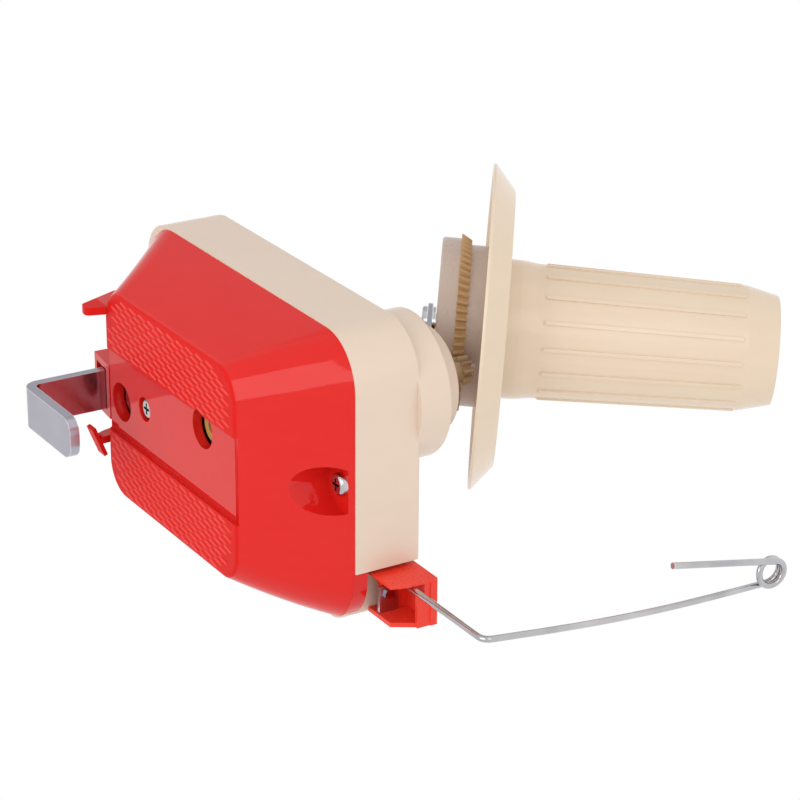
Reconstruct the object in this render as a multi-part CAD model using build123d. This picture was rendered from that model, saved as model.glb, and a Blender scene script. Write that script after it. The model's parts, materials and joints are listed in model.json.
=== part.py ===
from build123d import *
from math import acos, atan2, cos, degrees, hypot, pi, radians, sin, sqrt, tan
import os

# A hand-cranked yarn ball winder on a table clamp.
# +Z points up along the rotor axis. z = 0 is the plane of the two ribbed pads that sit on the table.
# X and Y are zero at the middle of the housing. +X points to the winding head, +Y to the yarn guide.

# Housing
HALF_LENGTH = 65.2
HALF_WIDTH = 45.5
PARTING_Z = 26.6
HOUSING_TOP = 48.3
HOUSING_WALL = 2.2
ROOF = 2.5
FAR_CORNER_R = 14
NEAR_CORNER_R = 16
NOTCH_X = 58.8
NOTCH_Y = 26.2
STEP_HEIGHT = 4.2
BOSS_R = 22.3
BOSS_TOP = 57.7

# Base shell
BASE_FAR = -42.0
BASE_NEAR = 41.5
BASE_HALF_WIDTH = 33.4
BASE_CORNER_R = 10
RIM_INSET = 0.4
FAR_RIM_INSET = 1.8
BASE_EDGE_R = 2.2
SHELL_WALL = 2.4
FLOOR = 2.6
BAND_DEPTH = 1.6
BAND_HALF_WIDTH = 13.7
HOLE_R = 6.25

# Shafts
CRANK_X, CRANK_Y = -35.4, 2.8
HEAD_X, HEAD_Y = 45.0, -20.9
SCREW_X, SCREW_Y = -19.6, -0.5
POCKET_X, POCKET_Y = 60.2, 0.2
POCKET_R = 7.6
SHELL_SCREW_X, SHELL_SCREW_Y = 60.2, -1.4
POCKET_ROOF = 25.0
FIT = 0.05

# Spur gears, all of one module
MODULE = 1.0
CRANK_TEETH = 52
TRANSFER_TEETH = 20
COMPOUND_SMALL = 20
COMPOUND_LARGE = 38
ROTOR_TEETH = 20
BACKLASH = 0.22
UPPER_GEARS = (39.5, 45.0)
LOWER_GEARS = (31.0, 37.0)
HEAD_TO_COMPOUND = 154.3

# Tilted spool, in heights along its own axis measured from the apex of the bevel gears
TILT = 34.0
TILT_AZIMUTH = 6.5
APEX_Z = 128.5
RING_TEETH = 66
SUN_TEETH = 9
BEVEL_BACKLASH = 0.3
BEVEL_OUTER_H = -47.5
BEVEL_INNER_H = -44.3
DRUM_BOTTOM = -53.3
DRUM_R = 26.5
DRUM_NECK_R = 24.7
FLANGE_R = 50.0
FLANGE_TOP_R = 41.7
FLANGE_RIM_H = -39.6
FLANGE_TOP_H = -32.5
BARREL_BASE_R = 20.6
BARREL_TOP_R = 19.15
BARREL_TIP_R = 16.8
BARREL_SHOULDER_H = 40.4
BARREL_TIP_H = 50.0
RIBS = 16
AXLE_R = 3.0
BRACKET_HALF_WIDTH = 6.0
RIVET_OFFSETS = (-3.0, 3.0)

# Crank
ARM_LENGTH = 44.0
ARM_Z = (52.0, 55.0)
KNOB_TOP = 73.0
KNOB_R = 7.0

# Clamp
STRIP_X = (-50.3, -47.2)
STRIP_Y = (-3.8, 9.2)
STRIP_TOP = 33.5
JAW_Z = (-25.5, -22.3)
JAW_TIP_X = -15.0
LEVER_X, LEVER_Z = -54.0, 24.5
LEVER_SHAFT_R = 2.0
TONGUE_Y = (-27.2, -24.7)
HOOK_Y = (18.6, 21.0)

# Yarn guide
WIRE_R = 1.0
WIRE_Y, WIRE_Z = 29.5, 39.6
WIRE_X = 113.6
BLOCK_X = (58.8, 76.3)
BLOCK_Y = (27.5, 42.5)
BLOCK_Z = (32.5, 47.5)

AZ = radians(TILT_AZIMUTH)
LEAN = radians(TILT)
ACROSS = Vector(cos(AZ), sin(AZ), 0)
SPOOL_UP = ACROSS * sin(LEAN) + Vector(0, 0, cos(LEAN))
SPOOL_DOWNHILL = ACROSS * cos(LEAN) - Vector(0, 0, sin(LEAN))
SUN_CONE = atan2(sin(LEAN), cos(LEAN) + RING_TEETH / SUN_TEETH)
SPOOL = Plane(origin=(HEAD_X, HEAD_Y, APEX_Z), x_dir=SPOOL_DOWNHILL, z_dir=SPOOL_UP)


def block(x, y, z):
    """A box from its ranges in X, Y and Z."""
    centre = Pos((x[0] + x[1]) / 2, (y[0] + y[1]) / 2, (z[0] + z[1]) / 2)
    return centre * Box(x[1] - x[0], y[1] - y[0], z[1] - z[0])


def rod(x, y, radius, low, high):
    """A vertical cylinder."""
    return Pos(x, y, (low + high) / 2) * Cylinder(radius, high - low)


def tube(x, y, outer, inner, low, high):
    return rod(x, y, outer, low, high) - rod(x, y, inner, low - 1, high + 1)


def turned(outline):
    """A solid of revolution about Z from (radius, height) points."""
    return revolve(Plane.XZ * make_face(Polyline(*outline, close=True)), Axis.Z)


def joined(solids):
    whole = solids[0]
    for solid in solids[1:]:
        whole = whole + solid
    return whole


def gear_outline(teeth, module, addendum, dedendum, backlash, scale=1.0):
    """A gear outline of involute teeth with one tooth on the +X axis."""
    pitch_r = teeth * module / 2
    base_r = pitch_r * cos(radians(20))
    root_r = pitch_r - dedendum
    tip_r = pitch_r + addendum

    def half_angle(r):
        here = acos(min(1.0, base_r / r))
        at_pitch = acos(base_r / pitch_r)
        involute = (tan(at_pitch) - at_pitch) - (tan(here) - here)
        return pi / (2 * teeth) - backlash / (2 * pitch_r) + involute

    steps = 3
    start_r = max(root_r, base_r)
    radii = [start_r + (tip_r - start_r) * i / steps for i in range(steps + 1)]
    if root_r < base_r:
        radii.insert(0, root_r)
    points = []
    for tooth in range(teeth):
        middle = 2 * pi * tooth / teeth
        flank = [(r, -half_angle(r)) for r in radii]
        flank += [(r, half_angle(r)) for r in reversed(radii)]
        for r, angle in flank:
            points.append((scale * r * cos(middle + angle), scale * r * sin(middle + angle)))
    return points


def spur_gear(x, y, teeth, levels, phase, bore):
    """A spur gear between two heights with a tooth at the phase angle."""
    outline = gear_outline(teeth, MODULE, 0.9 * MODULE, 1.2 * MODULE, BACKLASH)
    face = make_face(Polyline(*outline, close=True))
    blank = Pos(x, y, levels[0]) * Rot(0, 0, phase) * extrude(face, levels[1] - levels[0])
    return blank - rod(x, y, bore, levels[0] - 1, levels[1] + 1)


def mate_phase(phase, teeth, mate_teeth, direction):
    """The phase of a gear that meshes with another that lies back along the direction."""
    offset = (phase - direction) / (360 / teeth)
    return direction + 180 + (360 / mate_teeth) * (0.5 - offset)


# Gear centres, worked out from the centre distances
COMPOUND_DISTANCE = MODULE * (COMPOUND_LARGE + ROTOR_TEETH) / 2
COMPOUND_X = HEAD_X + COMPOUND_DISTANCE * cos(radians(HEAD_TO_COMPOUND))
COMPOUND_Y = HEAD_Y + COMPOUND_DISTANCE * sin(radians(HEAD_TO_COMPOUND))
CRANK_TO_TRANSFER = MODULE * (CRANK_TEETH + TRANSFER_TEETH) / 2
TRANSFER_TO_COMPOUND = MODULE * (TRANSFER_TEETH + COMPOUND_SMALL) / 2
SPAN = hypot(COMPOUND_X - CRANK_X, COMPOUND_Y - CRANK_Y)
ALONG = (CRANK_TO_TRANSFER**2 - TRANSFER_TO_COMPOUND**2 + SPAN**2) / (2 * SPAN)
ASIDE = sqrt(CRANK_TO_TRANSFER**2 - ALONG**2)
SPAN_ANGLE = atan2(COMPOUND_Y - CRANK_Y, COMPOUND_X - CRANK_X)
TRANSFER_X = CRANK_X + ALONG * cos(SPAN_ANGLE) - ASIDE * sin(SPAN_ANGLE)
TRANSFER_Y = CRANK_Y + ALONG * sin(SPAN_ANGLE) + ASIDE * cos(SPAN_ANGLE)


def rounded_outline(x, y, far_r, near_r, z):
    """A face with its far (-X) and near (+X) corners rounded differently, at a height."""
    corners = [(x[0], y[0]), (x[1], y[0]), (x[1], y[1]), (x[0], y[1])]
    face = make_face(Polyline(*corners, close=True))
    far = face.vertices().filter_by_position(Axis.X, x[0] - 1, x[0] + 1)
    face = fillet(far, far_r)
    near = face.vertices().filter_by_position(Axis.X, x[1] - 0.01, x[1] + 0.01)
    face = fillet(near, near_r)
    return Pos(0, 0, z) * face


def notch(grow):
    """The corner cut away beside the yarn guide, grown inward by a wall."""
    return block((NOTCH_X - grow, 90), (NOTCH_Y - grow, 90), (-20, 90))


def top_housing():
    """The pale upper casing: side walls, roof and the head boss."""
    outer_x = (-HALF_LENGTH, HALF_LENGTH)
    outer_y = (-HALF_WIDTH, HALF_WIDTH)
    outer = extrude(
        rounded_outline(outer_x, outer_y, FAR_CORNER_R, NEAR_CORNER_R, PARTING_Z), HOUSING_TOP - PARTING_Z
    )
    outer = outer - notch(0)
    rim = outer.faces().sort_by(Axis.Z)[-1].edges()
    outer = fillet(rim, 1.2)
    inner_x = (-HALF_LENGTH + HOUSING_WALL, HALF_LENGTH - HOUSING_WALL)
    inner_y = (-HALF_WIDTH + HOUSING_WALL, HALF_WIDTH - HOUSING_WALL)
    ceiling = HOUSING_TOP - ROOF
    inner = extrude(
        rounded_outline(inner_x, inner_y, FAR_CORNER_R - 2, NEAR_CORNER_R - 2, PARTING_Z), ceiling - PARTING_Z
    )
    inner = inner - notch(HOUSING_WALL)
    boss = fillet(rod(HEAD_X, HEAD_Y, BOSS_R, HOUSING_TOP - 1.2, BOSS_TOP).edges().sort_by(Axis.Z)[-1], 0.8)
    casing = (outer - inner) + boss
    casing -= rod(HEAD_X, HEAD_Y, 17.5, ceiling - 1, BOSS_TOP - ROOF)
    casing -= rod(HEAD_X, HEAD_Y, 8.0, ceiling, BOSS_TOP + 1)
    casing -= rod(CRANK_X, CRANK_Y, 6.5, ceiling - 1, HOUSING_TOP + 1)
    for x, y in ((TRANSFER_X, TRANSFER_Y), (COMPOUND_X, COMPOUND_Y)):
        casing -= rod(x, y, 2.5, ceiling - 1, ceiling + 1.5)
    screw_post = rod(SHELL_SCREW_X, SHELL_SCREW_Y, 4.2, 27.2, ceiling)
    casing += screw_post
    casing -= rod(SHELL_SCREW_X, SHELL_SCREW_Y, 1.45, 27, 40)
    return casing


def shell_body(inset, floor):
    """The tapering body of the base, drawn in by an inset, from the floor height to the parting line."""
    far_rim = HALF_LENGTH - FAR_RIM_INSET - inset
    near_rim = HALF_LENGTH - RIM_INSET - inset
    side_rim = HALF_WIDTH - RIM_INSET - inset
    sections = []
    for z in (floor, (floor + PARTING_Z) / 2, PARTING_Z):
        t = z / PARTING_Z
        bulge = 1.1 * sin(pi * t)
        far = (BASE_FAR + inset) * (1 - t) - far_rim * t
        near = (BASE_NEAR - inset) * (1 - t) + near_rim * t + bulge
        half = (BASE_HALF_WIDTH - inset) * (1 - t) + side_rim * t + bulge * 0.5
        far_r = BASE_CORNER_R * (1 - t) + (FAR_CORNER_R + 2) * t + 2 * bulge - inset * 0.6
        near_r = BASE_CORNER_R * (1 - t) + NEAR_CORNER_R * t - inset * 0.6
        sections.append(rounded_outline((far, near), (-half, half), far_r, near_r, z))
    return loft(sections)


def base_shell():
    """The red lower shell with its recessed band, clamp socket, lever slots and screw pocket."""
    outer = shell_body(0, 0.0)
    bottom = outer.faces().sort_by(Axis.Z)[0]
    outer = fillet(bottom.edges(), BASE_EDGE_R)
    inner = shell_body(SHELL_WALL, BAND_DEPTH + FLOOR)
    shell = outer - inner
    lid_x = (NOTCH_X - HOUSING_WALL, HALF_LENGTH)
    lid_y = (NOTCH_Y - HOUSING_WALL, HALF_WIDTH)
    shell += block(lid_x, lid_y, (PARTING_Z - 2, PARTING_Z)) & outer
    rim_x = (-HALF_LENGTH, HALF_LENGTH - RIM_INSET)
    rim_y = (RIM_INSET - HALF_WIDTH, HALF_WIDTH - RIM_INSET)
    rim = rounded_outline(rim_x, rim_y, FAR_CORNER_R, NEAR_CORNER_R, PARTING_Z - 0.5)
    step = extrude(rim, STEP_HEIGHT + 0.5)
    shell += step & block((NOTCH_X + 0.2, HALF_LENGTH), (NOTCH_Y + 0.2, HALF_WIDTH), (PARTING_Z - 1, 40))
    posts = [
        rod(SCREW_X, SCREW_Y, 5.5, 1, 14),
        rod(HEAD_X, HEAD_Y, 7.0, 1, 22),
        rod(CRANK_X, CRANK_Y, 8.2, 1, 5.4),
        rod(COMPOUND_X, COMPOUND_Y, 8.2, 1, 4.6),
        rod(POCKET_X, POCKET_Y, POCKET_R + 2, 1, 27),
        rod(-28.0, -14.0, 3.0, 1, 14),
        rod(-2.0, 12.0, 3.0, 1, 14),
    ]
    lugs = [block((-62, -50.8), y, (14, 25.9)) for y in ((-22, -19), (13.2, 16.2))]
    for solid in posts + lugs:
        shell += solid & outer
    for y in ((-30, -20), (20, 30)):
        shell += block((-62.8, -61.2), y, (26.0, 31.0))
    shell -= rod(HEAD_X, HEAD_Y, 3.5, 12, 30)
    shell -= rod(CRANK_X, CRANK_Y, HOLE_R, -1, 8)
    shell -= rod(COMPOUND_X, COMPOUND_Y, HOLE_R, -1, 8)
    shell -= rod(SCREW_X, SCREW_Y, 1.6, -1, 16)
    shell -= rod(SCREW_X, SCREW_Y, 3.9, -1, BAND_DEPTH + 2.5)
    shell -= rod(POCKET_X, POCKET_Y, POCKET_R, -1, POCKET_ROOF)
    shell -= rod(SHELL_SCREW_X, SHELL_SCREW_Y, 1.6, 20, 30)
    band = make_face(Polyline((-90, -5), (44, -5), (44, 0.4), (39, BAND_DEPTH), (-90, BAND_DEPTH), close=True))
    shell -= extrude(Plane.XZ * band, BAND_HALF_WIDTH, both=True)
    lever_bore = Pos(LEVER_X, 0, LEVER_Z) * Rot(90, 0, 0) * Cylinder(LEVER_SHAFT_R + FIT, 60)
    shell -= lever_bore
    shell -= block((-80, -40.3), (TONGUE_Y[0] - 0.7, TONGUE_Y[1] + 0.7), (-5, 24.5))
    shell -= block((-80, -42.6), (HOOK_Y[0] - 0.7, HOOK_Y[1] + 0.7), (-5, 24.5))
    socket = block((-57.8, -44.2), (-6.3, 11.7), (-2, 20.2))
    below = Pos(-51, 2.5, 0) * Rot(0, 6.9, 0) * Pos(0, 0, -17.6) * Box(60, 40, 40)
    socket -= below
    shell += socket
    shell -= block((-55.8, STRIP_X[1] + 0.3), (STRIP_Y[0] - 0.3, STRIP_Y[1] + 0.3), (-5, 30))
    return shell


def phillips_screw(x, y, head_r, head_z, head_height, shank_r, shank_top):
    """A countersunk-headed screw driven upward, with its cross recess facing down."""
    head = rod(x, y, head_r, head_z, head_z + head_height)
    head = fillet(head.edges().sort_by(Axis.Z)[0], head_height * 0.45)
    screw = head + rod(x, y, shank_r, head_z + head_height, shank_top)
    for size in ((head_r * 1.15, 0.9), (0.9, head_r * 1.15)):
        screw -= Pos(x, y, head_z + head_height * 0.3) * Box(size[0], size[1], head_height * 0.9)
    return screw


def shell_screws():
    """The two screws that hold the bearing plate and the two shells."""
    plate_screw = phillips_screw(SCREW_X, SCREW_Y, 3.3, BAND_DEPTH + 0.7, 1.8, 1.45, 16.0)
    shell_screw = phillips_screw(SHELL_SCREW_X, SHELL_SCREW_Y, 3.4, POCKET_ROOF - 2.2, 2.2, 1.4, 38.0)
    return Compound(children=[plate_screw, shell_screw])


def bearing_plate():
    """The plate inside the base that holds the lower ends of the two gear shafts."""
    plate = rod(CRANK_X, CRANK_Y, 8.3, 14, 16.5) + rod(COMPOUND_X, COMPOUND_Y, 9.5, 14, 16.5)
    middle = Pos((CRANK_X + COMPOUND_X) / 2, (CRANK_Y + COMPOUND_Y) / 2, 15.25)
    plate += middle * Rot(0, 0, degrees(SPAN_ANGLE)) * Box(SPAN, 15, 2.5)
    for x, y in ((-28.0, -14.0), (-2.0, 12.0)):
        plate += rod(x, y, 4.0, 14, 16.5)
        plate += Pos(x, y * 0.6, 15.25) * Box(7, abs(y) * 0.8, 2.5)
    plate -= rod(CRANK_X, CRANK_Y, 4.4 + FIT, 10, 20)
    plate -= rod(COMPOUND_X, COMPOUND_Y, 5.0 + FIT, 10, 20)
    plate -= rod(SCREW_X, SCREW_Y, 1.45, 10, 20)
    return plate


def crank_bush():
    """The flanged bush of the crank shaft in the roof."""
    bush = tube(CRANK_X, CRANK_Y, 6.5, 4.4 + FIT, HOUSING_TOP - ROOF, HOUSING_TOP + 1.8)
    return bush + tube(CRANK_X, CRANK_Y, 9.0, 4.4 + FIT, HOUSING_TOP, HOUSING_TOP + 1.8)


def head_bush():
    """The flanged bush of the rotor in the head boss."""
    bush = tube(HEAD_X, HEAD_Y, 8.0, 6.0 + FIT, BOSS_TOP - 7.5, BOSS_TOP)
    return bush + tube(HEAD_X, HEAD_Y, 11.0, 6.0 + FIT, BOSS_TOP - ROOF - 2, BOSS_TOP - ROOF)


def transfer_pin():
    """The headed pin that hangs from the roof and carries the transfer gear."""
    pin = rod(TRANSFER_X, TRANSFER_Y, 2.5, UPPER_GEARS[0] - 1, HOUSING_TOP - 1)
    return pin + rod(TRANSFER_X, TRANSFER_Y, 4.2, UPPER_GEARS[0] - 1.4, UPPER_GEARS[0] - 0.4)


def compound_gear():
    """The two-step gear on its long hub, which shows through the hole in the base."""
    small = spur_gear(COMPOUND_X, COMPOUND_Y, COMPOUND_SMALL, UPPER_GEARS, COMPOUND_PHASE, 2.5 + FIT)
    large = spur_gear(COMPOUND_X, COMPOUND_Y, COMPOUND_LARGE, LOWER_GEARS, COMPOUND_PHASE, 2.5 + FIT)
    for step in range(6):
        turn = Pos(COMPOUND_X, COMPOUND_Y, 0) * Rot(0, 0, 60 * step)
        large -= turn * Pos(12.2, 0, 34) * Cylinder(3.2, 10)
    hub = tube(COMPOUND_X, COMPOUND_Y, 5.0, 2.5 + FIT, 4.9, LOWER_GEARS[0])
    collar = tube(COMPOUND_X, COMPOUND_Y, 7.5, 2.5 + FIT, LOWER_GEARS[1], UPPER_GEARS[0])
    return small + large + hub + collar


def compound_ring():
    """The retaining ring on the lower end of the gear hub."""
    return tube(COMPOUND_X, COMPOUND_Y, 5.9, 5.0, 5.6, 6.6)


def sun_post():
    """The fixed post inside the hollow rotor."""
    return rod(HEAD_X, HEAD_Y, 3.5, 12, 70.5) + rod(HEAD_X, HEAD_Y, 1.8, 70, 78.6)


def bevel_gear(teeth, outer_h, inner_h, addendum, dedendum, backlash, phase):
    """A straight bevel gear whose teeth run to the apex at height zero."""
    cone = SUN_CONE if teeth == SUN_TEETH else LEAN - SUN_CONE
    module = 2 * abs(outer_h) * tan(cone) / teeth
    outline = gear_outline(teeth, module, addendum * module, dedendum * module, backlash)
    lower = Pos(0, 0, outer_h) * make_face(Polyline(*outline, close=True))
    shrink = inner_h / outer_h
    scaled = [(x * shrink, y * shrink) for x, y in outline]
    upper = Pos(0, 0, inner_h) * make_face(Polyline(*scaled, close=True))
    return Rot(0, 0, phase) * loft([lower, upper], ruled=True)


def sun_pinion():
    """The fixed nine-tooth bevel pinion on top of the post."""
    ring_cone = LEAN - SUN_CONE
    outer_h = BEVEL_OUTER_H * cos(SUN_CONE) / cos(ring_cone) - 0.5
    inner_h = BEVEL_INNER_H * cos(SUN_CONE) / cos(ring_cone) - 0.6
    pinion = bevel_gear(SUN_TEETH, outer_h, inner_h, 1.0, 1.2, BEVEL_BACKLASH, TILT_AZIMUTH + 180)
    pinion = Pos(HEAD_X, HEAD_Y, APEX_Z) * pinion
    base = rod(HEAD_X, HEAD_Y, 2.9, APEX_Z + outer_h - 2.4, APEX_Z + outer_h)
    return (pinion + base) - rod(HEAD_X, HEAD_Y, 1.8, 60, 90)


def spool_drum():
    """The cup under the flange, with the ring of bevel teeth round its outside."""
    cup = turned([
        (AXLE_R + FIT, DRUM_BOTTOM), (DRUM_R - 0.5, DRUM_BOTTOM), (DRUM_R, DRUM_BOTTOM + 0.5),
        (DRUM_R, BEVEL_OUTER_H), (DRUM_NECK_R, BEVEL_OUTER_H), (DRUM_NECK_R, FLANGE_TOP_H - 2),
        (DRUM_NECK_R - 2, FLANGE_TOP_H - 2), (DRUM_NECK_R - 2, DRUM_BOTTOM + 2.2), (6, DRUM_BOTTOM + 2.2),
        (6, DRUM_BOTTOM + 8), (AXLE_R + FIT, DRUM_BOTTOM + 8),
    ])
    ring = bevel_gear(RING_TEETH, BEVEL_OUTER_H, BEVEL_INNER_H, 0.6, 1.3, BEVEL_BACKLASH, 180 / RING_TEETH)
    ring -= Pos(0, 0, BEVEL_OUTER_H) * Cylinder(DRUM_NECK_R - 1.0, 20)
    return SPOOL * (cup + ring)


def spool_flange():
    """The wide plate that the yarn rides up against, with a conical skirt."""
    plate = turned([
        (18, FLANGE_TOP_H - 2), (FLANGE_TOP_R - 0.6, FLANGE_TOP_H - 2), (FLANGE_R - 1.8, FLANGE_RIM_H),
        (FLANGE_R, FLANGE_RIM_H), (FLANGE_R, FLANGE_RIM_H + 0.8), (FLANGE_TOP_R + 0.6, FLANGE_TOP_H),
        (18, FLANGE_TOP_H),
    ])
    return SPOOL * plate


def spool_barrel():
    """The hollow ribbed barrel that the yarn is wound on."""
    wall = 1.9
    outer = turned([
        (0, FLANGE_TOP_H), (21.4, FLANGE_TOP_H), (21.3, FLANGE_TOP_H + 4.2), (21.1, FLANGE_TOP_H + 6.0),
        (20.8, FLANGE_TOP_H + 7.8), (BARREL_BASE_R, FLANGE_TOP_H + 9.5),
        (BARREL_TOP_R, BARREL_SHOULDER_H), (BARREL_TIP_R, BARREL_TIP_H), (0, BARREL_TIP_H),
    ])
    lower_core = turned([
        (0, FLANGE_TOP_H - 1), (BARREL_BASE_R - wall, FLANGE_TOP_H - 1), (BARREL_TOP_R - wall, 34), (0, 34),
    ])
    upper_core = turned([
        (0, 36), (BARREL_TOP_R - wall, 36), (BARREL_TOP_R - wall, BARREL_SHOULDER_H),
        (BARREL_TIP_R - wall, BARREL_TIP_H + 0.1), (0, BARREL_TIP_H + 0.1),
    ])
    barrel = outer - lower_core - upper_core
    barrel += Pos(0, 0, 31) * Cylinder(6, 7)
    barrel -= Pos(0, 0, 31) * Cylinder(AXLE_R + FIT, 30)
    low = FLANGE_TOP_H + 9.5
    lift = 0.45
    profile = Polyline(
        (BARREL_BASE_R - 1, low), (BARREL_BASE_R + lift, low + 2.5),
        (BARREL_TOP_R + lift, BARREL_SHOULDER_H - 1.5), (BARREL_TOP_R - 1, BARREL_SHOULDER_H), close=True,
    )
    rib = extrude(Plane.XZ * make_face(profile), 0.55, both=True)
    for index in range(RIBS):
        barrel += Rot(0, 0, 360 * (index + 0.5) / RIBS) * rib
    return SPOOL * barrel


def spool_axle():
    """The fixed tilted axle, riveted into the bracket."""
    axle = Cylinder(AXLE_R, 38 - DRUM_BOTTOM + 3.0, align=(Align.CENTER, Align.CENTER, Align.MIN))
    axle = Pos(0, 0, DRUM_BOTTOM - 3.0) * axle
    head = Pos(0, 0, DRUM_BOTTOM - 3.7) * Cylinder(5.0, 1.6)
    head = fillet(head.edges().sort_by(Axis.Z)[0], 0.7)
    collar = Pos(0, 0, DRUM_BOTTOM - 0.75) * Cylinder(5.0, 0.9)
    return SPOOL * (axle + head + collar)


def axle_clip():
    """The clip that keeps the spool on its axle."""
    return SPOOL * (Pos(0, 0, 36.9) * (Cylinder(5.6, 1.0) - Cylinder(AXLE_R, 3)))


def spool_bracket():
    """The bent steel strip that stands on the rotor and carries the tilted axle."""
    leg_h = DRUM_BOTTOM - 2.05

    def side(h, x):
        return (h * sin(LEAN) + x * cos(LEAN), h * cos(LEAN) - x * sin(LEAN) + APEX_Z)

    foot_z = 64.75
    riser = -14.1
    low_x = (riser - leg_h * sin(LEAN)) / cos(LEAN)
    path = FilletPolyline((-4.5, foot_z), (riser, foot_z), side(leg_h, low_x), side(leg_h, 0.0), radius=2.4)
    side_plane = Plane(origin=(HEAD_X, HEAD_Y, 0), x_dir=ACROSS, z_dir=(sin(AZ), -cos(AZ), 0))
    strip = extrude(side_plane * trace(path, line_width=1.5), BRACKET_HALF_WIDTH, both=True)
    strip += SPOOL * (Pos(0, 0, leg_h) * Cylinder(BRACKET_HALF_WIDTH, 1.5))
    strip -= SPOOL * (Pos(0, 0, leg_h) * Cylinder(AXLE_R, 6))
    for offset in RIVET_OFFSETS:
        strip -= side_plane * Pos(-9.0, foot_z, offset) * Rot(90, 0, 0) * Cylinder(1.6, 6)
    strip -= rod(HEAD_X, HEAD_Y, 6.4, 60, 68)
    return strip


def bracket_rivets():
    """The two rivets that hold the bracket to the rotor disc."""
    side_plane = Plane(origin=(HEAD_X, HEAD_Y, 0), x_dir=ACROSS, z_dir=(sin(AZ), -cos(AZ), 0))
    rivets = []
    for offset in RIVET_OFFSETS:
        centre = side_plane * Pos(-9.0, 0, offset)
        x, y = centre.position.X, centre.position.Y
        head = rod(x, y, 2.6, 65.5, 66.9)
        head = fillet(head.edges().sort_by(Axis.Z)[-1], 0.9)
        rivets.append(head + rod(x, y, 1.6, 60.0, 65.5))
    return Compound(children=rivets)


def rotor_disc():
    """The round plate on top of the hollow rotor."""
    disc = tube(HEAD_X, HEAD_Y, 16.0, 6.0, BOSS_TOP + 0.5, 64.0)
    disc = fillet(disc.edges().filter_by(GeomType.CIRCLE).sort_by(Axis.Z)[-2:], 0.6)
    side_plane = Plane(origin=(HEAD_X, HEAD_Y, 0), x_dir=ACROSS, z_dir=(sin(AZ), -cos(AZ), 0))
    for offset in RIVET_OFFSETS:
        centre = side_plane * Pos(-9.0, 0, offset)
        disc -= rod(centre.position.X, centre.position.Y, 1.6, 60.0, 70)
    return disc


def rotor_hub():
    """The hollow shaft of the rotor, turning round the fixed post."""
    return tube(HEAD_X, HEAD_Y, 6.0, 3.5 + FIT, 29.5, 65.0)


def crank_shaft():
    """The steel shaft of the crank, which shows through the hole in the base."""
    shaft = rod(CRANK_X, CRANK_Y, 4.4, 4.8, ARM_Z[1] - 0.6)
    flat = block((CRANK_X + 3.4, CRANK_X + 6), (CRANK_Y - 6, CRANK_Y + 6), (ARM_Z[0], ARM_Z[1]))
    shaft -= flat
    return fillet(shaft.edges().filter_by(GeomType.CIRCLE).sort_by(Axis.Z)[0], 0.8)


def crank_gear():
    """The large gear on the crank shaft, lightened by round holes."""
    gear = spur_gear(CRANK_X, CRANK_Y, CRANK_TEETH, (UPPER_GEARS[0], UPPER_GEARS[1]), 0, 4.4)
    for step in range(6):
        turn = Pos(CRANK_X, CRANK_Y, 0) * Rot(0, 0, 60 * step + 30)
        gear -= turn * Pos(15.5, 0, 42) * Cylinder(5.0, 10)
    return gear


def crank_arm():
    """The arm of the crank, clamped on the flatted shaft."""
    low, high = ARM_Z
    tip_y = CRANK_Y + ARM_LENGTH
    arm = rod(CRANK_X, CRANK_Y, 8.5, low, high) + rod(CRANK_X, tip_y, 6.5, low, high)
    sides = Polyline(
        (CRANK_X - 8.0, CRANK_Y + 3), (CRANK_X + 8.0, CRANK_Y + 3),
        (CRANK_X + 6.4, tip_y), (CRANK_X - 6.4, tip_y), close=True,
    )
    arm += Pos(0, 0, low) * extrude(make_face(sides), high - low)
    arm = fillet(arm.edges().group_by(Axis.Z)[-1], 0.8)
    arm -= rod(CRANK_X, CRANK_Y, 4.4, low - 1, high + 1)
    arm += block((CRANK_X + 3.4, CRANK_X + 6), (CRANK_Y - 2.6, CRANK_Y + 2.6), (low, high))
    return arm - rod(CRANK_X, tip_y, 2.5, low - 1, high + 1)


def crank_nut():
    """The cap nut that holds the arm on its shaft."""
    hexagon = Pos(CRANK_X, CRANK_Y, ARM_Z[1]) * extrude(RegularPolygon(5.6, 6), 3.4)
    dome = Pos(CRANK_X, CRANK_Y, ARM_Z[1] + 1.6) * Sphere(5.0)
    dome -= rod(CRANK_X, CRANK_Y, 9, 40, ARM_Z[1] + 1.0)
    return hexagon + dome


def knob_pin():
    """The headed pin of the knob, riveted into the arm."""
    tip_y = CRANK_Y + ARM_LENGTH
    pin = rod(CRANK_X, tip_y, 2.5, ARM_Z[0], KNOB_TOP - 3.0)
    pin += rod(CRANK_X, tip_y, 4.2, KNOB_TOP - 3.2, KNOB_TOP - 2.2)
    return pin + rod(CRANK_X, tip_y, 3.8, ARM_Z[0] - 1.0, ARM_Z[0])


def crank_knob():
    """The turned knob that spins freely on its pin."""
    low = ARM_Z[1] + 0.6
    waist = (low + KNOB_TOP) / 2
    bore = 2.5 + FIT
    knob = turned([
        (bore, low), (KNOB_R - 1.6, low), (KNOB_R - 0.6, low + 1.4), (KNOB_R - 1.6, waist - 2),
        (KNOB_R - 0.9, waist + 3), (KNOB_R, KNOB_TOP - 3.4), (KNOB_R - 0.5, KNOB_TOP - 1.2),
        (KNOB_R - 2.0, KNOB_TOP), (4.6, KNOB_TOP), (4.6, KNOB_TOP - 3.5), (bore, KNOB_TOP - 3.5),
    ])
    return Pos(CRANK_X, CRANK_Y + ARM_LENGTH, 0) * knob


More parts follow.
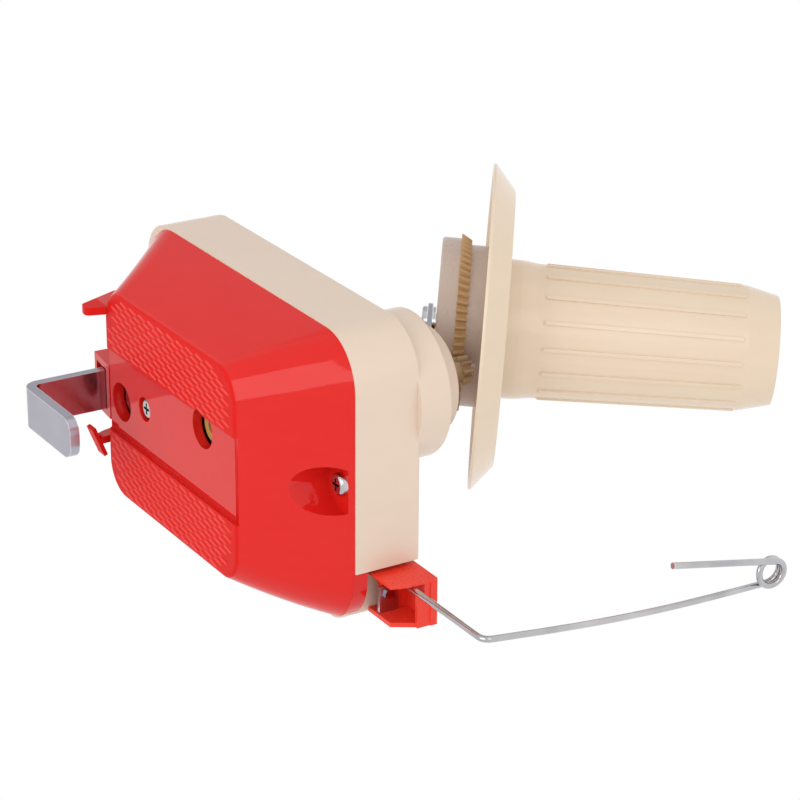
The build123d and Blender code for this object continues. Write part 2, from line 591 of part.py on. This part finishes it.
def clamp_jaw():
    """The bent steel strip that slides up into the base and grips the table from below."""
    thick = STRIP_X[1] - STRIP_X[0]
    middle = (STRIP_X[0] + STRIP_X[1]) / 2
    plate_z = (JAW_Z[0] + JAW_Z[1]) / 2
    path = FilletPolyline((middle, STRIP_TOP), (middle, plate_z), (JAW_TIP_X, plate_z), radius=3.6)
    strip = extrude(Plane.XZ * trace(path, line_width=thick), STRIP_Y[0] - STRIP_Y[1])
    tip_corners = strip.edges().filter_by(Axis.Z).sort_by(Axis.X)[-2:]
    return Pos(0, STRIP_Y[0], 0) * fillet(tip_corners, 4.8)


def lever_shaft():
    """The steel cross shaft of the clamp lever, in the two lugs of the base."""
    length = HOOK_Y[1] - TONGUE_Y[0]
    centre = (HOOK_Y[1] + TONGUE_Y[0]) / 2
    return Pos(LEVER_X, centre, LEVER_Z) * Rot(90, 0, 0) * Cylinder(LEVER_SHAFT_R, length)


def lever_plate(points, y):
    """A flat arm of the lever, drawn in X and Z, between two Y values."""
    face = Plane.XZ * make_face(Polyline(*points, close=True))
    return Pos(0, y[0], 0) * extrude(face, -(y[1] - y[0]))


def lever_round(radius, y, offset=0.0):
    """A cylinder along Y on the lever shaft."""
    centre = Pos(LEVER_X + offset, (y[0] + y[1]) / 2, LEVER_Z)
    return centre * Rot(90, 0, 0) * Cylinder(radius, y[1] - y[0])


LEVER_BORE = Pos(LEVER_X, 0, LEVER_Z) * Rot(90, 0, 0) * Cylinder(LEVER_SHAFT_R, 80)


def clamp_tongue():
    """The thumb tongue of the clamp lever."""
    x, z = LEVER_X, LEVER_Z
    tongue = lever_plate([
        (x - 3.4, z), (x + 3.4, z), (x + 6.5, 14.0), (-40.9, 0.6), (-43.2, -6.2), (-47.2, -5.4),
        (-52.8, 7.8),
    ], TONGUE_Y)
    tip = tongue.edges().filter_by(Axis.Y).filter_by_position(Axis.Z, -7, -4)
    tongue = fillet(tip, 1.9)
    return tongue + lever_round(3.4, (TONGUE_Y[0], -22.4)) - LEVER_BORE


def clamp_hook():
    """The side arm of the clamp lever, with its slanted finger bar."""
    x, z = LEVER_X, LEVER_Z
    arm = lever_plate([
        (x - 3.0, z), (x + 3.0, z), (x + 4.6, 13.0), (-47.6, 2.4), (-47.4, 0.2), (-50.6, -0.6),
        (-52.2, 3.0), (-54.6, 12.0),
    ], HOOK_Y)
    bar = Pos(-50.0, 20.5, -0.5) * Rot(21.8, 0, 0) * Box(4.4, 10.4, 1.3)
    return arm + bar + lever_round(3.4, (16.6, HOOK_Y[1])) - LEVER_BORE


def clamp_cam():
    """The eccentric sleeve on the lever shaft that presses on the steel strip."""
    return lever_round(3.25, (-2.5, 8.5), 0.15) + lever_round(2.9, (-18.6, 12.8)) - LEVER_BORE


def guide_block():
    """The bright open block in the housing notch that carries the yarn guide wire."""
    low_x, high_x = BLOCK_X
    back_z = BLOCK_Z[1]
    top = lever_plate([
        (low_x, BLOCK_Z[0]), (high_x - 1.7, BLOCK_Z[0]), (high_x, 38.2), (high_x, back_z), (low_x, back_z),
    ], (BLOCK_Y[0], WIRE_Y - WIRE_R - 0.1))
    bottom = lever_plate([
        (low_x, 34.6), (71.1, 34.6), (75.4, 41.6), (high_x, back_z), (low_x, back_z),
    ], (BLOCK_Y[1] - 1.4, BLOCK_Y[1]))
    back = block(BLOCK_X, BLOCK_Y, (45.3, back_z))
    side = block((74.6, 75.9), BLOCK_Y, (41.0, back_z))
    bearing = block((62.0, 71.0), (BLOCK_Y[0], 31.2), (37.8, 46.0))
    leaf_post = block((61.8, 63.6), (31.0, 41.5), (36.0, 46.0))
    body = joined([back, top, bottom, side, bearing, leaf_post])
    body -= Pos(64, WIRE_Y, WIRE_Z) * Rot(0, 90, 0) * Cylinder(WIRE_R + FIT, 30)
    return body - block((73.0, 80.0), (WIRE_Y - 1.0, 31.6), (38.0, 43.4))


def guide_leaf():
    """The spring leaf riveted inside the block."""
    leaf = block((63.6, 64.6), (32.6, 41.1), (35.0, 41.6))
    return leaf - Pos(64, 35.4, 38.2) * Rot(0, 90, 0) * Cylinder(0.9, 5)


def guide_rivet():
    """The rivet that holds the leaf."""
    head = Pos(65.0, 35.4, 38.2) * Rot(0, 90, 0) * Cylinder(1.8, 0.8)
    return head + Pos(64.1, 35.4, 38.2) * Rot(0, 90, 0) * Cylinder(0.9, 1.0)


def guide_wire():
    """The bent wire with a pigtail eye of two close turns that leads the yarn to the barrel."""
    eye_y, eye_z = 32.0, 139.0
    eye_r = 4.2
    coil_width = 4.3
    coil_depth = 2.3
    path = FilletPolyline(
        (67.2, WIRE_Y, WIRE_Z), (WIRE_X, WIRE_Y, WIRE_Z), (WIRE_X, 33.8, 86.0), (WIRE_X, eye_y + eye_r, eye_z),
        radius=[3.5, 60.0],
    )
    wire = sweep(Plane(origin=path @ 0, z_dir=path % 0) * Circle(WIRE_R), path=path)
    coil = Cylinder(eye_r + coil_depth / 2, coil_width) - Cylinder(eye_r - coil_depth / 2, 2 * coil_width)
    coil = Pos(WIRE_X + 1.0, eye_y, eye_z) * Rot(0, 90, 0) * coil
    tail_top = Vector(WIRE_X + 2.0, eye_y - eye_r, eye_z)
    tail_end = Vector(WIRE_X + 3.0, 20.2, 101.7)
    tail = Plane(origin=tail_top, z_dir=tail_end - tail_top) * Cylinder(
        WIRE_R, (tail_end - tail_top).length, align=(Align.CENTER, Align.CENTER, Align.MIN)
    )
    return wire + coil + tail


TRANSFER_PHASE = mate_phase(0, CRANK_TEETH, TRANSFER_TEETH, degrees(
    atan2(TRANSFER_Y - CRANK_Y, TRANSFER_X - CRANK_X)))
COMPOUND_PHASE = mate_phase(TRANSFER_PHASE, TRANSFER_TEETH, COMPOUND_SMALL, degrees(
    atan2(COMPOUND_Y - TRANSFER_Y, COMPOUND_X - TRANSFER_X)))
ROTOR_PHASE = mate_phase(COMPOUND_PHASE, COMPOUND_LARGE, ROTOR_TEETH, HEAD_TO_COMPOUND + 180)


def transfer_gear():
    """The idler between the crank gear and the compound gear."""
    return spur_gear(TRANSFER_X, TRANSFER_Y, TRANSFER_TEETH, UPPER_GEARS, TRANSFER_PHASE, 2.5 + FIT)


def rotor_pinion():
    """The pinion at the foot of the hollow rotor."""
    return spur_gear(HEAD_X, HEAD_Y, ROTOR_TEETH, LOWER_GEARS, ROTOR_PHASE, 6.0)


BUILDERS = [
    top_housing, base_shell, shell_screws, bearing_plate, crank_bush, head_bush, transfer_pin,
    sun_post, sun_pinion, guide_block, guide_leaf, guide_rivet, crank_shaft, crank_gear, crank_arm,
    crank_nut, knob_pin, crank_knob, transfer_gear, compound_gear, compound_ring, rotor_hub,
    rotor_pinion, rotor_disc, spool_bracket, bracket_rivets, spool_axle, axle_clip, spool_drum,
    spool_flange, spool_barrel, clamp_jaw, clamp_tongue, clamp_hook, clamp_cam, lever_shaft, guide_wire,
]

os.makedirs("parts", exist_ok=True)
for builder in BUILDERS:
    name = builder.__name__
    solid = builder()
    solid.label = name
    export_step(solid, f"parts/{name}.step")
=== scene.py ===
import json
import math

import bmesh
import bpy
from mathutils import Matrix, Vector


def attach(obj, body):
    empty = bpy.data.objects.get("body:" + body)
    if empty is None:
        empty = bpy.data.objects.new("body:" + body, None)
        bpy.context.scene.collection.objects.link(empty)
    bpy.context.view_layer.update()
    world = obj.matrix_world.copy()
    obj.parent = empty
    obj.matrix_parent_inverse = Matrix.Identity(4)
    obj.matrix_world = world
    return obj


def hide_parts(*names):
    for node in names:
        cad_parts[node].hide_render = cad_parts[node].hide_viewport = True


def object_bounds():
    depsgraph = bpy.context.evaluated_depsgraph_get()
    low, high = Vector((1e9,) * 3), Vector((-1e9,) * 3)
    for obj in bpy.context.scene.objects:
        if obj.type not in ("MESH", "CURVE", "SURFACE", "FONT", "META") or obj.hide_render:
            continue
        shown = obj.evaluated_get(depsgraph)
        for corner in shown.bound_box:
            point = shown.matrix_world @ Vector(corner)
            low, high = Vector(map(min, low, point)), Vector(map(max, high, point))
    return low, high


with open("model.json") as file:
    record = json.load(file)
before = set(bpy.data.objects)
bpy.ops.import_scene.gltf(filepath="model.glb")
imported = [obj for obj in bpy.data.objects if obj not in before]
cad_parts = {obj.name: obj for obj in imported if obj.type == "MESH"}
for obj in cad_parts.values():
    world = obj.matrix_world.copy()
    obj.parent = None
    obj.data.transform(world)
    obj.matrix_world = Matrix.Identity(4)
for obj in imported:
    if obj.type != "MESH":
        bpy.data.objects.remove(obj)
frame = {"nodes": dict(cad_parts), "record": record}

CAD_LOW, CAD_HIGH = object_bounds()
MM = 0.001

# Camera, in metres and in the frame's axes
CAMERA_AT = Vector((0.6957, -0.3315, -0.3442))
VIEW_LINE = Vector((-0.7884, 0.3825, 0.4818))
PICTURE_UP = Vector((-0.3299, -0.9240, 0.1936))
LENS = 126.47
SENSOR_WIDTH = 36


# Spool axis, in metres: the apex of the bevel gears and the direction up the spool
SPOOL_APEX = (0.045, -0.0209, 0.1285)
SPOOL_UP = (0.5556, 0.0633, 0.8290)

# Surface wear
EDGE_WEAR_RADIUS = 0.0005
ZONE_SOFTNESS = 0.0001
PLASTIC_IOR = 1.48
RUBBED_STEEL = (0.92, 0.92, 0.93)
PIT_DARKENING = 0.3
PIT_RANGE = (0.62, 0.75)
EDGE_ROUND = 0.22 * MM
EDGE_ROUND_ANGLE = math.radians(35)

# Pads on the base, in millimetres
BAND_HALF_WIDTH = 13.7
PAD_EDGE_Y = 32.6
PAD_X = (-41.0, 40.5)
PAD_CORNER_R = 10.5
RIB_LONG, RIB_WIDE, RIB_HIGH = 5.7, 1.1, 0.5
RIB_SUNK = 0.12
RIB_ROW_GAP = 1.65
RIB_STEP = 6.2
RIB_SLANT = math.radians(10)

# Guide wire, in millimetres
WIRE_R = 1.0
WIRE_START_X, WIRE_X = 67.2, 113.6
WIRE_Y, WIRE_Z = 29.5, 39.6
WIRE_BEND_R = 3.4
WIRE_BOW = 1.7
EYE_Y, EYE_Z, EYE_R = 32.0, 139.0, 4.2
EYE_PITCH = 2.15
EYE_TURNS = 1.5
WIRE_END = (WIRE_X + 3.0, 20.2, 101.7)

# Studio, in metres
FLOOR_HALF_SIZE = 6.0
FLOOR_Z = -0.75
DARK_SIDE = Vector((-0.78, -0.62, -0.05))
DARK_SIDE_LEVEL = 0.66
CARD_AT, CARD_AIM = (0.175, -0.13, -0.30), (0.055, -0.035, 0.012)


# ---------------------------------------------------------------- materials

def node_material(name):
    """A new node material and its principled shader."""
    material = bpy.data.materials.new(name)
    material.use_nodes = True
    shader = material.node_tree.nodes["Principled BSDF"]
    return material, material.node_tree.nodes, material.node_tree.links, shader


def noise(nodes, links, scale, detail, stretch=(1, 1, 1)):
    """A noise texture in object space, in metres, drawn out by a stretch."""
    place = nodes.new("ShaderNodeTexCoord")
    mapping = nodes.new("ShaderNodeMapping")
    mapping.inputs["Scale"].default_value = stretch
    texture = nodes.new("ShaderNodeTexNoise")
    texture.inputs["Scale"].default_value = scale
    texture.inputs["Detail"].default_value = detail
    links.new(place.outputs["Object"], mapping.inputs["Vector"])
    links.new(mapping.outputs["Vector"], texture.inputs["Vector"])
    return texture.outputs["Fac"]


def ramp(nodes, links, source, low, high, start=0.3, stop=0.7):
    """Maps a 0..1 value to a range of values."""
    spread = nodes.new("ShaderNodeMapRange")
    spread.inputs["From Min"].default_value = start
    spread.inputs["From Max"].default_value = stop
    spread.inputs["To Min"].default_value = low
    spread.inputs["To Max"].default_value = high
    links.new(source, spread.inputs["Value"])
    return spread.outputs["Result"]


def mixed(nodes, links, factor, first, second):
    """Mixes two colours, each a socket or a plain colour, by a socket or a plain factor."""
    mix = nodes.new("ShaderNodeMix")
    mix.data_type = "RGBA"
    for socket, value in (("Factor", factor), ("A", first), ("B", second)):
        found = [s for s in mix.inputs if s.name == socket and s.enabled][0]
        if isinstance(value, bpy.types.NodeSocket):
            links.new(value, found)
        elif socket == "Factor":
            found.default_value = value
        else:
            found.default_value = (*value, 1)
    return [s for s in mix.outputs if s.enabled][0]


def edge_mask(nodes, links):
    """High within half a millimetre of a sharp edge, where handling wears a surface."""
    geometry = nodes.new("ShaderNodeNewGeometry")
    rounded = nodes.new("ShaderNodeBevel")
    rounded.samples = 4
    rounded.inputs["Radius"].default_value = EDGE_WEAR_RADIUS
    likeness = nodes.new("ShaderNodeVectorMath")
    likeness.operation = "DOT_PRODUCT"
    links.new(geometry.outputs["Normal"], likeness.inputs[0])
    links.new(rounded.outputs["Normal"], likeness.inputs[1])
    return ramp(nodes, links, likeness.outputs["Value"], 1.0, 0.0, 0.80, 0.985)


def bumped(nodes, links, shader, heights):
    """Chains bump nodes, one for each (height socket, distance in metres, strength)."""
    last = None
    for height, distance, strength in heights:
        bump = nodes.new("ShaderNodeBump")
        bump.inputs["Distance"].default_value = distance
        bump.inputs["Strength"].default_value = strength
        links.new(height, bump.inputs["Height"])
        if last is not None:
            links.new(last, bump.inputs["Normal"])
        last = bump.outputs["Normal"]
    links.new(last, shader.inputs["Normal"])


def height_band(nodes, links, origin, axis, low, high):
    """One between two heights, in metres, along an axis from an origin, and zero outside."""
    place = nodes.new("ShaderNodeTexCoord")
    offset = nodes.new("ShaderNodeVectorMath")
    offset.operation = "SUBTRACT"
    offset.inputs[1].default_value = origin
    links.new(place.outputs["Object"], offset.inputs[0])
    height = nodes.new("ShaderNodeVectorMath")
    height.operation = "DOT_PRODUCT"
    height.inputs[1].default_value = axis
    links.new(offset.outputs["Vector"], height.inputs[0])
    both = nodes.new("ShaderNodeMath")
    both.operation = "MULTIPLY"
    soft = ZONE_SOFTNESS
    rise = ramp(nodes, links, height.outputs["Value"], 0.0, 1.0, low - soft, low + soft)
    fall = ramp(nodes, links, height.outputs["Value"], 1.0, 0.0, high - soft, high + soft)
    links.new(rise, both.inputs[0])
    links.new(fall, both.inputs[1])
    return both.outputs["Value"]


def plastic(name, colour, deep, worn, gloss=(0.16, 0.26), level=0.5, zone=None):
    """Moulded plastic: slow colour drift, flow marks, fine orange peel, scuffs and paler worn edges.

    Gloss is the range of the roughness and level the strength of the reflections. A zone (origin,
    axis, low, high, colour, roughness, level) is a band of heights with a surface of its own.
    """
    material, nodes, links, shader = node_material(name)
    drift = noise(nodes, links, 28, 3)
    flow = noise(nodes, links, 60, 4, (1, 3.5, 1))
    scuff = noise(nodes, links, 900, 6, (1, 0.08, 1))
    speck = noise(nodes, links, 2600, 2)
    base = mixed(nodes, links, ramp(nodes, links, drift, 0.0, 0.45), colour, deep)
    base = mixed(nodes, links, ramp(nodes, links, flow, 0.0, 0.22), base, worn)
    wear = edge_mask(nodes, links)
    worn_share = nodes.new("ShaderNodeMath")
    worn_share.operation = "MULTIPLY"
    links.new(wear, worn_share.inputs[0])
    links.new(ramp(nodes, links, flow, 0.15, 0.75), worn_share.inputs[1])
    base = mixed(nodes, links, worn_share.outputs["Value"], base, worn)
    roughness = ramp(nodes, links, scuff, gloss[0], gloss[1])
    shader.inputs["IOR"].default_value = PLASTIC_IOR
    shader.inputs["Specular IOR Level"].default_value = level
    if zone is not None:
        origin, axis, low, high, zone_colour, zone_roughness, zone_level = zone
        mask = height_band(nodes, links, origin, axis, low, high)
        # On the drum's ring of bevel teeth this zone colour is painted shade.
        base = mixed(nodes, links, mask, base, zone_colour)
        blend = nodes.new("ShaderNodeMix")
        links.new(mask, blend.inputs["Factor"])
        links.new(roughness, blend.inputs["A"])
        blend.inputs["B"].default_value = zone_roughness
        roughness = blend.outputs["Result"]
        zoned_level = ramp(nodes, links, mask, level, zone_level, 0.0, 1.0)
        links.new(zoned_level, shader.inputs["Specular IOR Level"])
    links.new(base, shader.inputs["Base Color"])
    links.new(roughness, shader.inputs["Roughness"])
    bumped(nodes, links, shader, [
        (flow, 0.00006, 0.35), (speck, 0.00001, 0.2), (scuff, 0.000004, 0.1),
    ])
    return material


def metal(name, colour, dark, rough, stretch):
    """Plated steel: brushed lines, cloudy plating, small pits and brighter rubbed edges."""
    material, nodes, links, shader = node_material(name)
    cloud = noise(nodes, links, 90, 4)
    brushed = noise(nodes, links, 1800, 5, stretch)
    pits = noise(nodes, links, 3200, 3)
    base = mixed(nodes, links, ramp(nodes, links, cloud, 0.0, 0.6), colour, dark)
    pit_share = ramp(nodes, links, pits, 0.0, PIT_DARKENING, *PIT_RANGE)
    base = mixed(nodes, links, pit_share, base, dark)
    base = mixed(nodes, links, edge_mask(nodes, links), base, RUBBED_STEEL)
    links.new(base, shader.inputs["Base Color"])
    shader.inputs["Metallic"].default_value = 1.0
    links.new(ramp(nodes, links, brushed, rough[0], rough[1]), shader.inputs["Roughness"])
    bumped(nodes, links, shader, [
        (cloud, 0.00006, 0.25), (brushed, 0.000004, 0.4), (pits, 0.00001, 0.2),
    ])
    return material


def paper(name, colour):
    """The matt sweep of the studio."""
    material, nodes, links, shader = node_material(name)
    tone = noise(nodes, links, 3, 2)
    darker = tuple(0.985 * c for c in colour)
    links.new(mixed(nodes, links, tone, colour, darker), shader.inputs["Base Color"])
    shader.inputs["Roughness"].default_value = 0.9
    return material


# The ring of bevel teeth on the drum, painted a darker brown as painted shade over the teeth, and the
# flats of the two pads
RING_PAINTED_SHADE_ZONE = (SPOOL_APEX, SPOOL_UP, -0.0476, -0.0442, (0.58, 0.38, 0.20), 0.42, 0.4)
PAD_ZONE = ((0, 0, 0), (0, 0, 1), -0.01, 0.0006, (0.66, 0.010, 0.007), 0.45, 0.10)

MATERIALS = {
    "cream_plastic": plastic(
        "cream_abs", (0.725, 0.58, 0.465), (0.70, 0.555, 0.435), (0.77, 0.635, 0.52)
    ),
    "warm_cream": plastic(
        "warm_cream_abs", (0.755, 0.605, 0.455), (0.72, 0.565, 0.41), (0.80, 0.665, 0.52)
    ),
    "tan_plastic": plastic(
        "tan_abs", (0.53, 0.42, 0.36), (0.49, 0.38, 0.31), (0.60, 0.49, 0.42), (0.25, 0.38),
        zone=RING_PAINTED_SHADE_ZONE
    ),
    "red_plastic": plastic(
        "red_abs", (0.66, 0.012, 0.009), (0.62, 0.010, 0.007), (0.70, 0.022, 0.018), (0.03, 0.08),
        level=0.33, zone=PAD_ZONE
    ),
    # The ribs get a lighter red than the base shell: a painted highlight for the light lines along the
    # ribs.
    "red_ribs_painted_highlight": plastic(
        "red_rib_painted_highlight", (0.80, 0.030, 0.020), (0.76, 0.022, 0.015), (0.84, 0.06, 0.05), (0.16, 0.26),
        level=0.5
    ),
    "orange_plastic": plastic(
        "orange_abs", (0.82, 0.036, 0.016), (0.76, 0.028, 0.013), (0.86, 0.08, 0.05), (0.24, 0.36),
        level=0.4
    ),
    "gear_plastic": plastic(
        "acetal", (0.50, 0.28, 0.07), (0.44, 0.23, 0.05), (0.56, 0.36, 0.14), (0.35, 0.5)
    ),
    "tan_pinion": plastic(
        "tan_pinion", (0.52, 0.37, 0.22), (0.46, 0.32, 0.18), (0.60, 0.46, 0.30), (0.3, 0.42)
    ),
    "bright_steel": metal(
        "bright_strip", (0.47, 0.455, 0.52), (0.38, 0.37, 0.43), (0.16, 0.22), (1, 0.2, 1)
    ),
    "plated_steel": metal(
        "zinc_plate", (0.60, 0.59, 0.61), (0.36, 0.355, 0.37), (0.07, 0.14), (0.2, 0.2, 1)
    ),
}

# Nodes whose look differs from the look of their material slot
OWN_LOOK = {"spool_barrel": "warm_cream", "spool_flange": "warm_cream"}
FINELY_TOOTHED = {
    "spool_drum", "sun_pinion", "crank_gear", "transfer_gear", "compound_gear", "rotor_pinion"
}


def dress_nodes():
    """Gives every CAD node its material and, except the finely toothed ones, slightly rounded edges."""
    slot_of = {row["node"]: row["material_slot"] for row in frame["record"]["subparts"]}
    for name, piece in frame["nodes"].items():
        piece.data.materials.clear()
        piece.data.materials.append(MATERIALS[OWN_LOOK.get(name, slot_of[name])])
        if name in FINELY_TOOTHED:
            continue
        bevel = piece.modifiers.new("edge_round", "BEVEL")
        bevel.width = EDGE_ROUND
        bevel.segments = 2
        bevel.limit_method = "ANGLE"
        bevel.angle_limit = EDGE_ROUND_ANGLE
        bevel.harden_normals = True


# ---------------------------------------------------------------- pieces

def mesh_piece(name, bm, material, body):
    """Turns a bmesh into a smooth piece that rides on a body."""
    mesh = bpy.data.meshes.new(name)
    bmesh.ops.recalc_face_normals(bm, faces=bm.faces)
    bm.to_mesh(mesh)
    bm.free()
    piece = bpy.data.objects.new(name, mesh)
    bpy.context.scene.collection.objects.link(piece)
    mesh.materials.append(MATERIALS[material])
    mesh.polygons.foreach_set("use_smooth", [True] * len(mesh.polygons))
    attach(piece, body)


def on_pad(x, y):
    """Whether a point is on one of the two pads, clear of their rounded rims."""
    far, near = PAD_X
    over_x = max(far + PAD_CORNER_R - x, x - near + PAD_CORNER_R, 0)
    over_y = max(abs(y) - PAD_EDGE_Y + PAD_CORNER_R, 0)
    return math.hypot(over_x, over_y) < PAD_CORNER_R - 0.2 and abs(y) > BAND_HALF_WIDTH + 0.5


def add_rib(bm, x, y):
    """Adds one low rib with rounded ends to a mesh, its lower edge just under the pad's surface."""
    along = Vector((math.cos(RIB_SLANT), math.sin(RIB_SLANT), 0))
    across = Vector((-along.y, along.x, 0))
    stations, points_across = 7, 5
    rings = []
    for i in range(stations):
        t = -1 + 2 * i / (stations - 1)
        full = math.sqrt(max(0.0, 1 - abs(t) ** 3))
        ring = []
        for j in range(points_across):
            s = -1 + 2 * j / (points_across - 1)
            height = -RIB_HIGH * full * math.cos(s * math.pi / 2) + RIB_SUNK
            middle = Vector((x, y, height)) + along * (t * RIB_LONG / 2)
            at = middle + across * (s * RIB_WIDE / 2 * full)
            ring.append(bm.verts.new(at * MM))
        rings.append(ring)
    for a, b in zip(rings, rings[1:]):
        for j in range(points_across - 1):
            bm.faces.new((a[j], a[j + 1], b[j + 1], b[j]))


def pad_ribs():
    """Rows of short slanted ribs on the two pads that rest on the table, in a lighter red that is a
    painted highlight.
    """
    far, near = PAD_X
    half = RIB_LONG / 2
    rows = int((PAD_EDGE_Y - BAND_HALF_WIDTH) / RIB_ROW_GAP)
    columns = int((near - far) / RIB_STEP) + 1
    bm = bmesh.new()
    for side in (-1, 1):
        for row in range(rows):
            y = side * (BAND_HALF_WIDTH + 1.3 + row * RIB_ROW_GAP)
            stagger = (row % 2) * RIB_STEP / 2
            for column in range(columns):
                x = far + stagger + column * RIB_STEP
                ends = [(x + k * half, y + k * half * math.sin(RIB_SLANT)) for k in (-1, 1)]
                if all(on_pad(*end) for end in ends):
                    add_rib(bm, x, y)
    mesh_piece("pad_ribs", bm, "red_ribs_painted_highlight", "root")


def guide_wire_route():
    """The middle line of the guide wire, in millimetres: the leg, the long run, the eye and the tail."""
    points = [(WIRE_START_X, WIRE_Y, WIRE_Z), (90, WIRE_Y, WIRE_Z), (WIRE_X - 4.0, WIRE_Y, WIRE_Z)]
    bend = WIRE_BEND_R
    for i in range(1, 6):
        turn = math.radians(15 * i)
        x = WIRE_X - bend + bend * math.sin(turn)
        points.append((x, WIRE_Y, WIRE_Z + bend - bend * math.cos(turn)))
    rise = 12
    for i in range(rise):
        t = (i + 0.4) / rise
        y = WIRE_Y + (EYE_Y + EYE_R - WIRE_Y) * t + WIRE_BOW * math.sin(math.pi * t)
        z = WIRE_Z + bend + (EYE_Z - WIRE_Z - bend) * t
        points.append((WIRE_X, y, z))
    per_turn = 16
    for i in range(int(EYE_TURNS * per_turn) + 1):
        angle = 2 * math.pi * i / per_turn
        x = WIRE_X + EYE_PITCH * i / per_turn
        points.append((x, EYE_Y + EYE_R * math.cos(angle), EYE_Z + EYE_R * math.sin(angle)))
    tail_start, tail_end = Vector(points[-1]), Vector(WIRE_END)
    tail_steps = 6
    for i in range(1, tail_steps + 1):
        points.append(tuple(tail_start.lerp(tail_end, i / tail_steps)))
    return points


def guide_wire_curve():
    """The guide wire as one smooth bent wire, in place of its plain CAD node."""
    points = guide_wire_route()
    curve = bpy.data.curves.new("guide_wire_run", "CURVE")
    curve.dimensions = "3D"
    curve.bevel_depth = WIRE_R * MM
    curve.bevel_resolution = 6
    curve.resolution_u = 6
    curve.use_fill_caps = True
    spline = curve.splines.new("NURBS")
    spline.points.add(len(points) - 1)
    for point, at in zip(spline.points, points):
        point.co = (at[0] * MM, at[1] * MM, at[2] * MM, 1)
    spline.order_u = 4
    spline.use_endpoint_u = True
    holder = bpy.data.objects.new("guide_wire_curve", curve)
    bpy.context.scene.collection.objects.link(holder)
    scene_now = bpy.context.evaluated_depsgraph_get()
    mesh = bpy.data.meshes.new_from_object(holder.evaluated_get(scene_now))
    bpy.data.objects.remove(holder)
    mesh.name = "bent_guide_wire"
    mesh.materials.clear()
    mesh.materials.append(MATERIALS["plated_steel"])
    mesh.polygons.foreach_set("use_smooth", [True] * len(mesh.polygons))
    piece = bpy.data.objects.new("bent_guide_wire", mesh)
    bpy.context.scene.collection.objects.link(piece)
    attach(piece, "guide")
    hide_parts("guide_wire")


# ---------------------------------------------------------------- studio

def area_light(name, place, aim, size, power):
    """A soft square light aimed at a point."""
    light = bpy.data.lights.new(name, "AREA")
    light.size = size
    light.energy = power
    holder = bpy.data.objects.new(name, light)
    holder.location = place
    holder.rotation_mode = "QUATERNION"
    holder.rotation_quaternion = (Vector(aim) - Vector(place)).to_track_quat("-Z", "Y")
    bpy.context.scene.collection.objects.link(holder)


def studio_floor():
    """The pale floor, well below the part."""
    bm = bmesh.new()
    bmesh.ops.create_grid(bm, x_segments=2, y_segments=2, size=FLOOR_HALF_SIZE)
    mesh = bpy.data.meshes.new("studio_floor")
    bm.to_mesh(mesh)
    bm.free()
    floor = bpy.data.objects.new("studio_floor", mesh)
    floor.location.z = FLOOR_Z
    mesh.materials.append(paper("studio_paper", (0.92, 0.92, 0.92)))
    bpy.context.scene.collection.objects.link(floor)


def surround():
    """A white surround that is a little darker toward one side."""
    world = bpy.data.worlds.new("studio_world")
    bpy.context.scene.world = world
    world.use_nodes = True
    nodes, links = world.node_tree.nodes, world.node_tree.links
    place = nodes.new("ShaderNodeTexCoord")
    toward = nodes.new("ShaderNodeVectorMath")
    toward.operation = "DOT_PRODUCT"
    toward.inputs[1].default_value = DARK_SIDE.normalized()
    links.new(place.outputs["Generated"], toward.inputs[0])
    shade = ramp(nodes, links, toward.outputs["Value"], 1.0, DARK_SIDE_LEVEL, 0.60, 0.86)
    links.new(shade, nodes["Background"].inputs["Strength"])
    nodes["Background"].inputs["Color"].default_value = (1, 1, 1, 1)


def lights_and_camera():
    """A weak front light, a card that the base's corner reflects, and the camera."""
    centre = (CAD_LOW + CAD_HIGH) / 2
    right = VIEW_LINE.cross(PICTURE_UP).normalized()
    up = right.cross(VIEW_LINE).normalized()
    front = centre - VIEW_LINE * 1.1 + up * 0.25 + right * 0.25
    area_light("front", front, centre, 0.6, 1.2)
    area_light("corner_card", CARD_AT, CARD_AIM, 0.28, 0.43)

    camera = bpy.data.cameras.new("camera")
    camera.lens = LENS
    camera.sensor_width = SENSOR_WIDTH
    camera.clip_start, camera.clip_end = 0.01, 50
    holder = bpy.data.objects.new("camera", camera)
    turn = Matrix((right, up, -VIEW_LINE.normalized())).transposed()
    holder.matrix_world = Matrix.Translation(CAMERA_AT) @ turn.to_4x4()
    bpy.context.scene.collection.objects.link(holder)
    bpy.context.scene.camera = holder
    settings = bpy.context.scene.view_settings
    settings.view_transform = "Standard"
    settings.look = "None"
    settings.exposure = 0.0


dress_nodes()
pad_ribs()
guide_wire_curve()
studio_floor()
surround()
lights_and_camera()
